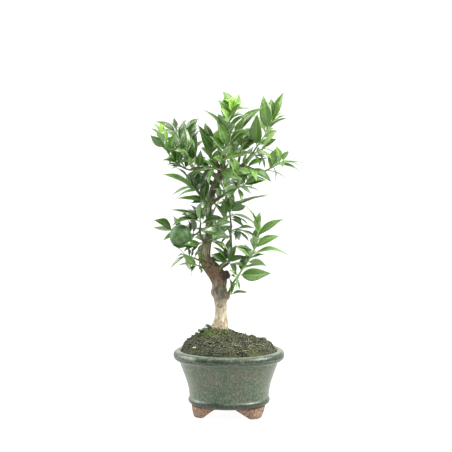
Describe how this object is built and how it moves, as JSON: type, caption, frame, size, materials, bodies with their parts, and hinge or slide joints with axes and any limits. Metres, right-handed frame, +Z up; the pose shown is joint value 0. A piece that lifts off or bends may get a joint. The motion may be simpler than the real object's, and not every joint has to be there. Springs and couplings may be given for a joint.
{
  "type": "myrtle-leaf orange bonsai",
  "caption": "Small citrus bonsai with a bent bare trunk, an open crown of narrow pointed leaves and unripe green fruit, standing in a round glazed pot on short feet.",
  "frame": {"origin": "on the table under the middle of the whole object's box", "axes": "+Z up, -Y towards the viewer of the tree's front, +X to the viewer's right"},
  "size_m": [0.2026, 0.1696, 0.4253],
  "materials": {
    "glazed_stoneware": "glossy mottled grey-green glaze over stoneware, bare reddish clay on the feet and the underside",
    "soil": "damp crumbly dark soil with moss",
    "bark": "smooth pale bark below, darker grey-brown bark above",
    "foliage": "glossy leathery green leaves with paler undersides",
    "green_rind": "dull waxy dimpled rind of an unripe fruit",
    "mesh_plastic": "matte black plastic mesh",
    "clip_wire": "satin aluminium wire"
  },
  "bodies": {
    "root": {"pot": "glazed_stoneware", "drainage_mesh": "mesh_plastic", "mesh_clip_wire": "clip_wire", "soil": "soil", "trunk_and_branches": "bark", "fruit_left": "green_rind", "fruit_hidden": "green_rind", "shoot_left_tip": "foliage", "shoot_left_high": "foliage", "shoot_left_inner": "foliage", "shoot_left_front": "foliage", "shoot_crown_left": "foliage", "shoot_leader": "foliage", "shoot_leader_right": "foliage", "shoot_leader_low": "foliage", "shoot_right_inner": "foliage", "shoot_right_top": "foliage", "shoot_right_hang": "foliage", "shoot_right_low": "foliage", "shoot_right_under": "foliage", "shoot_mid_front": "foliage", "shoot_mid_heart": "foliage", "shoot_heart_left": "foliage", "shoot_heart_right": "foliage", "shoot_left_under": "foliage", "shoot_mid_left_hang": "foliage", "shoot_left_mid": "foliage", "shoot_fruit_behind": "foliage", "shoot_low_left_a": "foliage", "shoot_low_left_b": "foliage", "shoot_low_left_c": "foliage", "shoot_tuft": "foliage", "shoot_tuft_left": "foliage", "shoot_centre_left": "foliage", "shoot_centre_right": "foliage", "shoot_trunk_front": "foliage", "shoot_centre_low": "foliage", "shoot_right_long": "foliage", "shoot_knob_leaf": "foliage", "shoot_back_high": "foliage", "shoot_back_left": "foliage", "shoot_back_mid": "foliage", "shoot_back_low": "foliage", "shoot_back_side": "foliage"}
  },
  "joints": []
}
